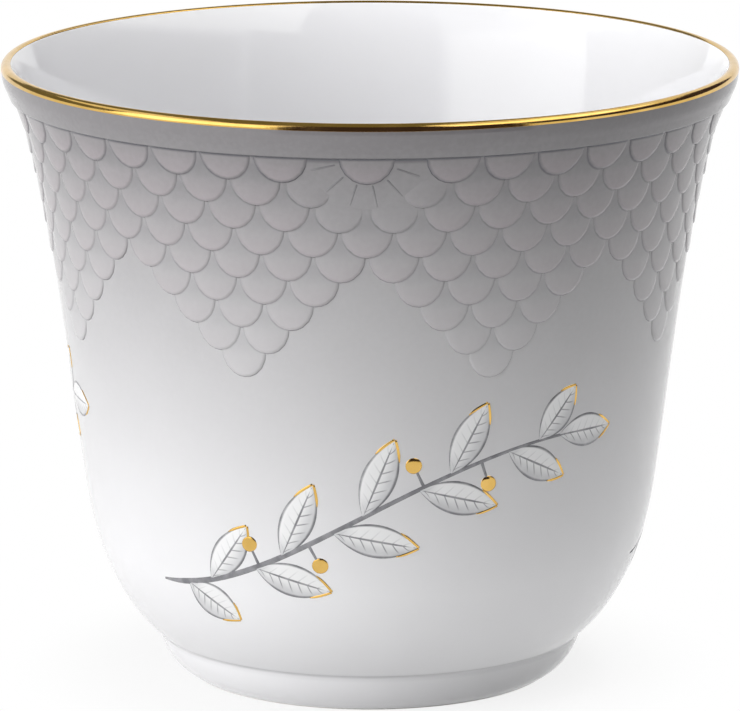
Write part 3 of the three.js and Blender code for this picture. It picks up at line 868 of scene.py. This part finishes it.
def drawn_stem():
    """The stem and the stalks of the berries, in one stroke each."""
    corners, faces = [], []
    runs = [i / STEM_STOPS for i in range(STEM_STOPS + 1)]
    line = [on_stem(run)[0] for run in runs]
    halves = [STEM_HALF * (1 - STEM_TAPER * run) * min(1, STEM_START + STEM_SWELL * run) for run in runs]
    stroke(line, halves, STEM_STAND, corners, faces)
    halves = [STALK_HALF * (1 - STALK_TAPER * i) for i in range(STALK_STOPS + 1)]
    for foot_point, berry in berry_places():
        stalk = [foot_point.lerp(berry, i / STALK_STOPS) for i in range(STALK_STOPS + 1)]
        stroke(stalk, halves, STALK_STAND, corners, faces)
    plain = [0] * len(corners)
    marks = {"along": plain, "across": plain, "stem": [1] * len(corners)}
    return flat_piece("sprig_stem", corners, faces, marks)


def leaf_half_width(run):
    """Half a leaf's width at a run along it."""
    return 2 * run * (1 - run) * LEAF_WIDTH


def drawn_leaf():
    """One leaf, drawn flat along +X from its base, as a film that thins out to its edge."""
    corners, alongs, acrosses = [], [], []
    width = LEAF_LANES + 3
    for i in range(LEAF_STOPS + 1):
        run = LEAF_GAP + (1 - 2 * LEAF_GAP) * i / LEAF_STOPS
        for lane in range(width):
            share = max(-1.0, min(1.0, 2 * (lane - 1) / LEAF_LANES - 1))
            across = share * leaf_half_width(run)
            stand = PAINT_STAND * (1 - LEAF_THINNING * share * share)
            if lane in (0, width - 1):
                across *= LEAF_SPREAD
                stand = -PAINT_ROOT
            corners.append((LEAF_LENGTH * run, -stand, across))
            alongs.append(run)
            acrosses.append(share)
    faces = strip_faces(0, LEAF_STOPS + 1, width)
    marks = {"along": alongs, "across": acrosses, "stem": [0] * len(alongs)}
    return flat_piece("painted_sprigs", corners, faces, marks)


def leaf_marks():
    """The leaves' places as bare points, each with its turn and its stretch."""
    mesh = bpy.data.meshes.new("leaf_places")
    places = leaf_places()
    mesh.from_pydata([(point.x, 0, point.y) for point, _, _ in places], [], [])
    turns = [-turn for _, turn, _ in places]
    stretches = [length / LEAF_LENGTH for _, _, length in places]
    for name, values in (("turn", turns), ("stretch", stretches)):
        mesh.attributes.new(name, "FLOAT", "POINT").data.foreach_set("value", values)
    return shown("leaf_places", mesh)


def sprig_tree():
    """Sets a drawn shape at each leaf's place, adds the strokes, lays all on the front and repeats it."""
    tree, given = node_tree("Sprigs on the wall", ["Sprigs Round", "Sprig Radius"])
    calc = partial(sum_of, tree)
    add_sockets(tree, "INPUT", "Object", "Places", "Strokes")
    shapes = copied(tree, shape_of(tree, given["Places"]), given["Geometry"], {
        "Rotation": xyz(tree, 0.0, noted(tree, "turn"), 0.0),
        "Scale": xyz(tree, noted(tree, "stretch"), 1.0, 1.0),
    })
    joined = tree.nodes.new("GeometryNodeJoinGeometry")
    tree.links.new(shapes, joined.inputs[0])
    tree.links.new(shape_of(tree, given["Strokes"]), joined.inputs[0])
    flat = drawn_at(tree)
    bent = calc("SINE", calc("DIVIDE", flat["X"], given["Sprig Radius"]))
    source = xyz(tree, calc("MULTIPLY", bent, given["Sprig Radius"]), -FAR_OUT, flat["Z"])
    stand = calc("MULTIPLY", flat["Y"], -1.0)
    laid = laid_on_wall(tree, joined.outputs[0], given["Wall"], source, (0, 1, 0), stand)
    index = place(tree, "GeometryNodeInputIndex")[0]
    step = calc("DIVIDE", 2 * math.pi, given["Sprigs Round"])
    turn = xyz(tree, 0.0, 0.0, calc("MULTIPLY", index, step))
    axis = place(tree, "GeometryNodePoints", {"Count": given["Sprigs Round"]})[0]
    finish_tree(tree, copied(tree, axis, laid, {"Rotation": turn}), given["Finish"])
    return tree


def brushed_enamel():
    """White leaves with a grey wash on their lower half, a grey outline, a midrib and slanting veins."""
    material, tree, shader = new_material("Grey and white painting")
    calc = partial(sum_of, tree)
    here = on_piece(tree)
    along, across, stem = mark(tree, "along"), mark(tree, "across"), mark(tree, "stem")
    off = calc("ABSOLUTE", across)
    brush = varied(tree, here, BRUSH_SCALE, *BRUSH_SHARES, 3.0)
    wash = eased(tree, across, *WASH_EDGES, 0.0, WASH_SHARE)
    wash = calc("MAXIMUM", wash, eased(tree, along, *BASE_WASH_EDGES, 0.0, BASE_WASH_SHARE))
    outline = eased(tree, off, *OUTLINE_EDGES)
    rib = calc("MULTIPLY", eased(tree, off, *RIB_EDGES), eased(tree, along, *RIB_ENDS))
    slant = calc("SUBTRACT", calc("MULTIPLY", along, VEINS), calc("MULTIPLY", off, VEIN_SLANT))
    beat = calc("ABSOLUTE", calc("SUBTRACT", calc("FRACT", slant), 0.5))
    vein = calc("MULTIPLY", eased(tree, beat, *VEIN_EDGES), eased(tree, off, *VEIN_ENDS, 0.0, VEIN_SHARE))
    vein = calc("MULTIPLY", vein, eased(tree, across, *LIT_VEIN_EDGES, LIT_VEIN_SHARE, 1.0))
    line = calc("MAXIMUM", calc("MAXIMUM", outline, rib), vein)
    line = calc("MULTIPLY", calc("MAXIMUM", line, stem), brush)
    washed = mixed(tree, calc("MULTIPLY", wash, brush), PAINT_WHITE, PAINT_WASH)
    feed(tree, shader, {
        "Base Color": mixed(tree, line, washed, PAINT_GREY),
        "Roughness": varied(tree, here, GLOSS_SCALE, *PAINT_ROUGHNESS),
        "Normal": bumped(tree, PAINT_BUMP, PAINT_DEPTH, line),
    })
    return material


leaf_points = leaf_marks()
stem_strokes = drawn_stem()
on_front = {
    "Wall": wall_form, "Places": leaf_points, "Sprigs Round": SPRIGS_ROUND, "Sprig Radius": sprig_radius,
}
sprigs = sprig_tree()
painted_sprigs = made_by_nodes(drawn_leaf(), sprigs, {
    **on_front, "Strokes": stem_strokes, "Finish": brushed_enamel(),
})
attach(painted_sprigs, "root")
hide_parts(*[f"painted_foliage_{i + 1}" for i in range(SPRIGS_ROUND)])


# The gilding on the lip is a film of gold, brushed over the crest on the banding wheel and fired on.
# It is burnished bright, and a little thinner where the brush left it at the two edges.
GILT_STEPS = 14
GILT_FILM = 0.04 * MM
GILT_BEVEL = 0.01 * MM
GILT_FEATHER = 5
GILT_ROOT = 1.6 * GILT_SEAT
GOLD_DEEP, GOLD_BRIGHT = (0.66, 0.42, 0.11, 1), (0.78, 0.51, 0.16, 1)
GOLD_ROUGHNESS = (0.09, 0.17)
GOLD_TONE_SCALE, GOLD_GLOSS_SCALE, GOLD_BRUSH_SCALE = 220.0, 500.0, 900.0
GOLD_BUMP, GOLD_DEPTH = 0.08, 0.1 * MM


def fired_gold(name):
    """Burnished fired gold with faint brush lines and slight changes of tone."""
    material, tree, shader = new_material(name)
    here = on_piece(tree)
    tone = varied(tree, here, GOLD_TONE_SCALE, 0.0, 1.0, 3.0)
    feed(tree, shader, {
        "Metallic": 1, "Base Color": mixed(tree, tone, GOLD_DEEP, GOLD_BRIGHT),
        "Roughness": varied(tree, here, GOLD_GLOSS_SCALE, *GOLD_ROUGHNESS, 3.0),
        "Normal": bumped(tree, GOLD_BUMP, GOLD_DEPTH, noise(tree, here, GOLD_BRUSH_SCALE)),
    })
    return material


gilt_outside = [Vector((RIM_RADIUS - GILT_SEAT, GILT_EDGE)), Vector((RIM_RADIUS, GILT_EDGE))]
gilt_outside += [Vector((RIM_RADIUS, GILT_EDGE + GILT_BEVEL))]
gilt_outside += round_edge(lip_centre, LIP_RADIUS, 0, GILT_INNER_ANGLE - GILT_FEATHER, GILT_STEPS)
gilt_inside = round_edge(lip_centre, LIP_RADIUS - GILT_FILM, GILT_INNER_ANGLE, 0, GILT_STEPS)
gilt_inside += [Vector((RIM_RADIUS - GILT_ROOT, GILT_EDGE + GILT_BEVEL))]
gilt_profile = gilt_outside + gilt_inside
gilt_lip = turned("gilt_lip", gilt_profile + gilt_profile[:1])
shape = bmesh.new()
shape.from_mesh(gilt_lip.data)
bmesh.ops.remove_doubles(shape, verts=shape.verts, dist=1e-7)
shape.to_mesh(gilt_lip.data)
shape.free()
gilt_lip.data.materials.append(fired_gold("Burnished lip gold"))
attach(gilt_lip, "root")
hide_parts("gilt_rim_band")


# The last gold goes on by brush: the berries, and a fine line round the tip of every leaf.
# It is the same fired gold as the lip, laid as low domes and narrow strokes over the painting.
TIP_FROM = 0.76
TIP_HALF = 0.17 * MM
TIP_STOPS = 10
TIP_START, TIP_SWELL = 0.3, 0.25
TOUCH_STAND = 0.07 * MM
BERRY_STAND = 0.16 * MM
BERRY_SIDES = 20
BERRY_DOME = ((0.5, 0.86), (0.85, 0.45), (1.0, 0.05), (1.02, -0.4))


def drawn_leaf_tip():
    """The gold line round a leaf's tip, in two strokes that meet on the point."""
    corners, faces = [], []
    halves = [TIP_HALF * min(1, TIP_START + TIP_SWELL * i) for i in range(TIP_STOPS + 1)]
    for side in (-1, 1):
        line = []
        for i in range(TIP_STOPS + 1):
            run = TIP_FROM + (1 - LEAF_GAP - TIP_FROM) * i / TIP_STOPS
            line.append(Vector((LEAF_LENGTH * run, side * leaf_half_width(run))))
        stroke(line, halves, TOUCH_STAND, corners, faces)
    return flat_piece("gilt_touches", corners, faces, {})


def drawn_berries():
    """The berries of one sprig as low domes."""
    corners, faces = [], []
    for _, berry in berry_places():
        first = len(corners)
        corners.append((berry.x, -BERRY_STAND, berry.y))
        for share, rise in BERRY_DOME:
            for i in range(BERRY_SIDES):
                angle = 2 * math.pi * i / BERRY_SIDES
                spot = berry + BERRY_RADIUS * share * Vector((math.cos(angle), math.sin(angle)))
                corners.append((spot.x, -BERRY_STAND * rise, spot.y))
        for i in range(BERRY_SIDES):
            beside = (i + 1) % BERRY_SIDES
            faces.append((first, first + 1 + i, first + 1 + beside))
            for inner in range(first + 1, first + 1 + (len(BERRY_DOME) - 1) * BERRY_SIDES, BERRY_SIDES):
                outer = inner + BERRY_SIDES
                faces.append((inner + i, outer + i, outer + beside, inner + beside))
        last = len(corners) - BERRY_SIDES
        faces.append(tuple(range(last, last + BERRY_SIDES)))
    return flat_piece("sprig_berries", corners, faces, {})


berry_domes = drawn_berries()
gilt_touches = made_by_nodes(drawn_leaf_tip(), sprigs, {
    **on_front, "Strokes": berry_domes, "Finish": fired_gold("Brushed gold touches"),
})
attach(gilt_touches, "root")
berry_count = len(berry_places())
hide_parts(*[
    f"gilt_berry_{i + 1}_{j + 1}" for i in range(SPRIGS_ROUND) for j in range(berry_count)
])


# The studio: a pale floor that goes over into a white surround, with soft boxes left, right and above.
# Bent dark, grey and bright cards stand round the cup, and show only in the gloss of glaze and gold:
# painted reflections.
FLOOR_REACH = 0.6
FLOOR_COLUMNS = 96
FLOOR_GREY, FLOOR_ROUGHNESS = (0.78, 0.78, 0.78, 1), 0.9
SHADOW_REACH, SHADOW_WHITES = (20 * MM, 46 * MM), (0.84, 1.0)
SURROUND_LIGHT = 0.14
# The cards' tones: painted dark reflections, and glowing painted highlights that light nothing.
DARK_REFLECTION_CARD = (0.05, 0.036, 0.05, 1)
GREY_REFLECTION_CARD = (0.19, 0.185, 0.14, 1)
BRIGHT_REFLECTION_GLOW = (2.1, 2.1, 2.0, 1)
CARD_STEP = 5
COVE_PROFILE = ((0.27, 0.004), (0.45, 0.004), (0.62, 0.12), (0.66, 0.45), (0.5, 0.8))
FLAG_PROFILE = ((1.0, 0.16), (1.0, 0.7))
ROUND_CARDS = (
    ("front_cove", (-27, 48), COVE_PROFILE, DARK_REFLECTION_CARD),
    ("left_window", (-85, -30), ((1.0, 0.03), (1.0, 0.78)), BRIGHT_REFLECTION_GLOW),
    ("right_window", (28, 118), ((0.45, 0.41), (0.45, 0.95)), BRIGHT_REFLECTION_GLOW),
    ("left_flag", (-150, -85), FLAG_PROFILE, GREY_REFLECTION_CARD),
    ("right_flag", (50, 150), FLAG_PROFILE, DARK_REFLECTION_CARD),
)
ARCH_SIDES = (-0.6, 0.19)
ARCH_PROFILE = ((-0.5, 0.78), (-0.2, 0.95), (0.3, 0.95), (0.75, 0.6), (0.85, 0.45))
SOFT_BOXES = (
    ("left_soft_box", (-0.85, -0.53, 0.40), (1.0, 0.8), 11.7),
    ("right_soft_box", (0.92, -0.22, 0.5), (0.4, 0.7), 0.5),
    ("top_soft_box", (0.22, 0.05, 1.1), (0.5, 0.5), 8.8),
)
CAMERA_SPOT = (6.8 * MM, -782.5 * MM, 210.3 * MM)
CAMERA_AIM = (0, 0, 39.02 * MM)
CAMERA_LENS, CAMERA_SENSOR = 316.2, 36


def white_to_eye(tree):
    """1 for rays from the camera, a reflection or clear glass, which all see the white surround."""
    path = place(tree, "ShaderNodeLightPath")
    seen = sum_of(tree, "MAXIMUM", path["Is Camera Ray"], path["Is Glossy Ray"])
    return sum_of(tree, "MAXIMUM", seen, path["Is Transmission Ray"])


surround = bpy.data.worlds.new("White surround")
surround.use_nodes = True
bpy.context.scene.world = surround
sky = surround.node_tree
strength = sum_of(sky, "MULTIPLY", white_to_eye(sky), 1 - SURROUND_LIGHT)
strength = sum_of(sky, "ADD", SURROUND_LIGHT, strength)
sky.links.new(strength, sky.nodes["Background"].inputs["Strength"])
sky.nodes["Background"].inputs["Color"].default_value = (1, 1, 1, 1)

floor_material, tree, matt = new_material("Pale floor")
feed(tree, matt, {"Base Color": FLOOR_GREY, "Roughness": FLOOR_ROUGHNESS, "Specular IOR Level": 0})
here = on_piece(tree)
away = place(tree, "ShaderNodeVectorMath", {0: here}, operation="LENGTH")["Value"]
share = sum_of(tree, "MULTIPLY", white_to_eye(tree), eased(tree, away, *SHADOW_REACH, *SHADOW_WHITES))
white = place(tree, "ShaderNodeEmission", {"Strength": 1.0})
lit = place(tree, "ShaderNodeMixShader", {0: share, 1: matt.outputs[0], 2: white[0]})
clear = place(tree, "ShaderNodeBsdfTransparent")
back = place(tree, "ShaderNodeNewGeometry")["Backfacing"]
sided = place(tree, "ShaderNodeMixShader", {0: back, 1: lit[0], 2: clear[0]})
feed(tree, tree.nodes["Material Output"], {"Surface": sided[0]})
floor = turned("studio_floor", [Vector((0, 0)), Vector((FLOOR_REACH, 0))], FLOOR_COLUMNS)
floor.data.flip_normals()
floor.data.materials.append(floor_material)


def reflection_card(name, lines, tone):
    """A bent card through lines of points that lie side by side. It shows only in gloss, as a painted
    reflection that lights nothing.
    """
    rows = len(lines[0])
    faces = []
    for row in range(0, (len(lines) - 1) * rows, rows):
        faces += [(row + i, row + i + 1, row + i + rows + 1, row + i + rows) for i in range(rows - 1)]
    mesh = bpy.data.meshes.new(name)
    mesh.from_pydata([point for line in lines for point in line], [], faces)
    material, tree, _ = new_material(name)
    paint = place(tree, "ShaderNodeEmission", {"Color": tone})
    feed(tree, tree.nodes["Material Output"], {"Surface": paint[0]})
    mesh.materials.append(material)
    card = shown(name, mesh)
    card.visible_camera = False
    card.visible_diffuse = False
    card.visible_shadow = False


def swept(turns, profile):
    """Lines of points from a profile of reach and height, swept round the cup between two turns."""
    lines = []
    for turn in range(turns[0], turns[1] + 1, CARD_STEP):
        heading = Vector((math.sin(math.radians(turn)), -math.cos(math.radians(turn)), 0))
        lines.append([heading * reach + Vector((0, 0, height)) for reach, height in profile])
    return lines


for name, turns, profile, tone in ROUND_CARDS:
    reflection_card(name, swept(turns, profile), tone)
arch = [[(side, deep, height) for deep, height in ARCH_PROFILE] for side in ARCH_SIDES]
reflection_card("overhead_arch", arch, GREY_REFLECTION_CARD)


def aimed(spot):
    """The turn of a lamp or a camera that looks from here at the middle of the cup."""
    return (Vector(CAMERA_AIM) - Vector(spot)).to_track_quat("-Z", "Y").to_euler()


for name, spot, size, power in SOFT_BOXES:
    lamp = bpy.data.lights.new(name, "AREA")
    lamp.shape = "RECTANGLE"
    lamp.size, lamp.size_y = size
    lamp.energy = power
    box = shown(name, lamp)
    box.location = spot
    box.rotation_euler = aimed(spot)
    box.visible_camera = False
    # The soft boxes show no highlight of their own; the glowing cards paint it instead.
    box.visible_glossy = False

lens = bpy.data.cameras.new("camera")
lens.lens = CAMERA_LENS
lens.sensor_width = CAMERA_SENSOR
camera = shown("camera", lens)
camera.location = CAMERA_SPOT
camera.rotation_euler = aimed(CAMERA_SPOT)
bpy.context.scene.camera = camera

for drawing in (wall_form, leaf_points, stem_strokes, berry_domes):
    bpy.data.objects.remove(drawing)
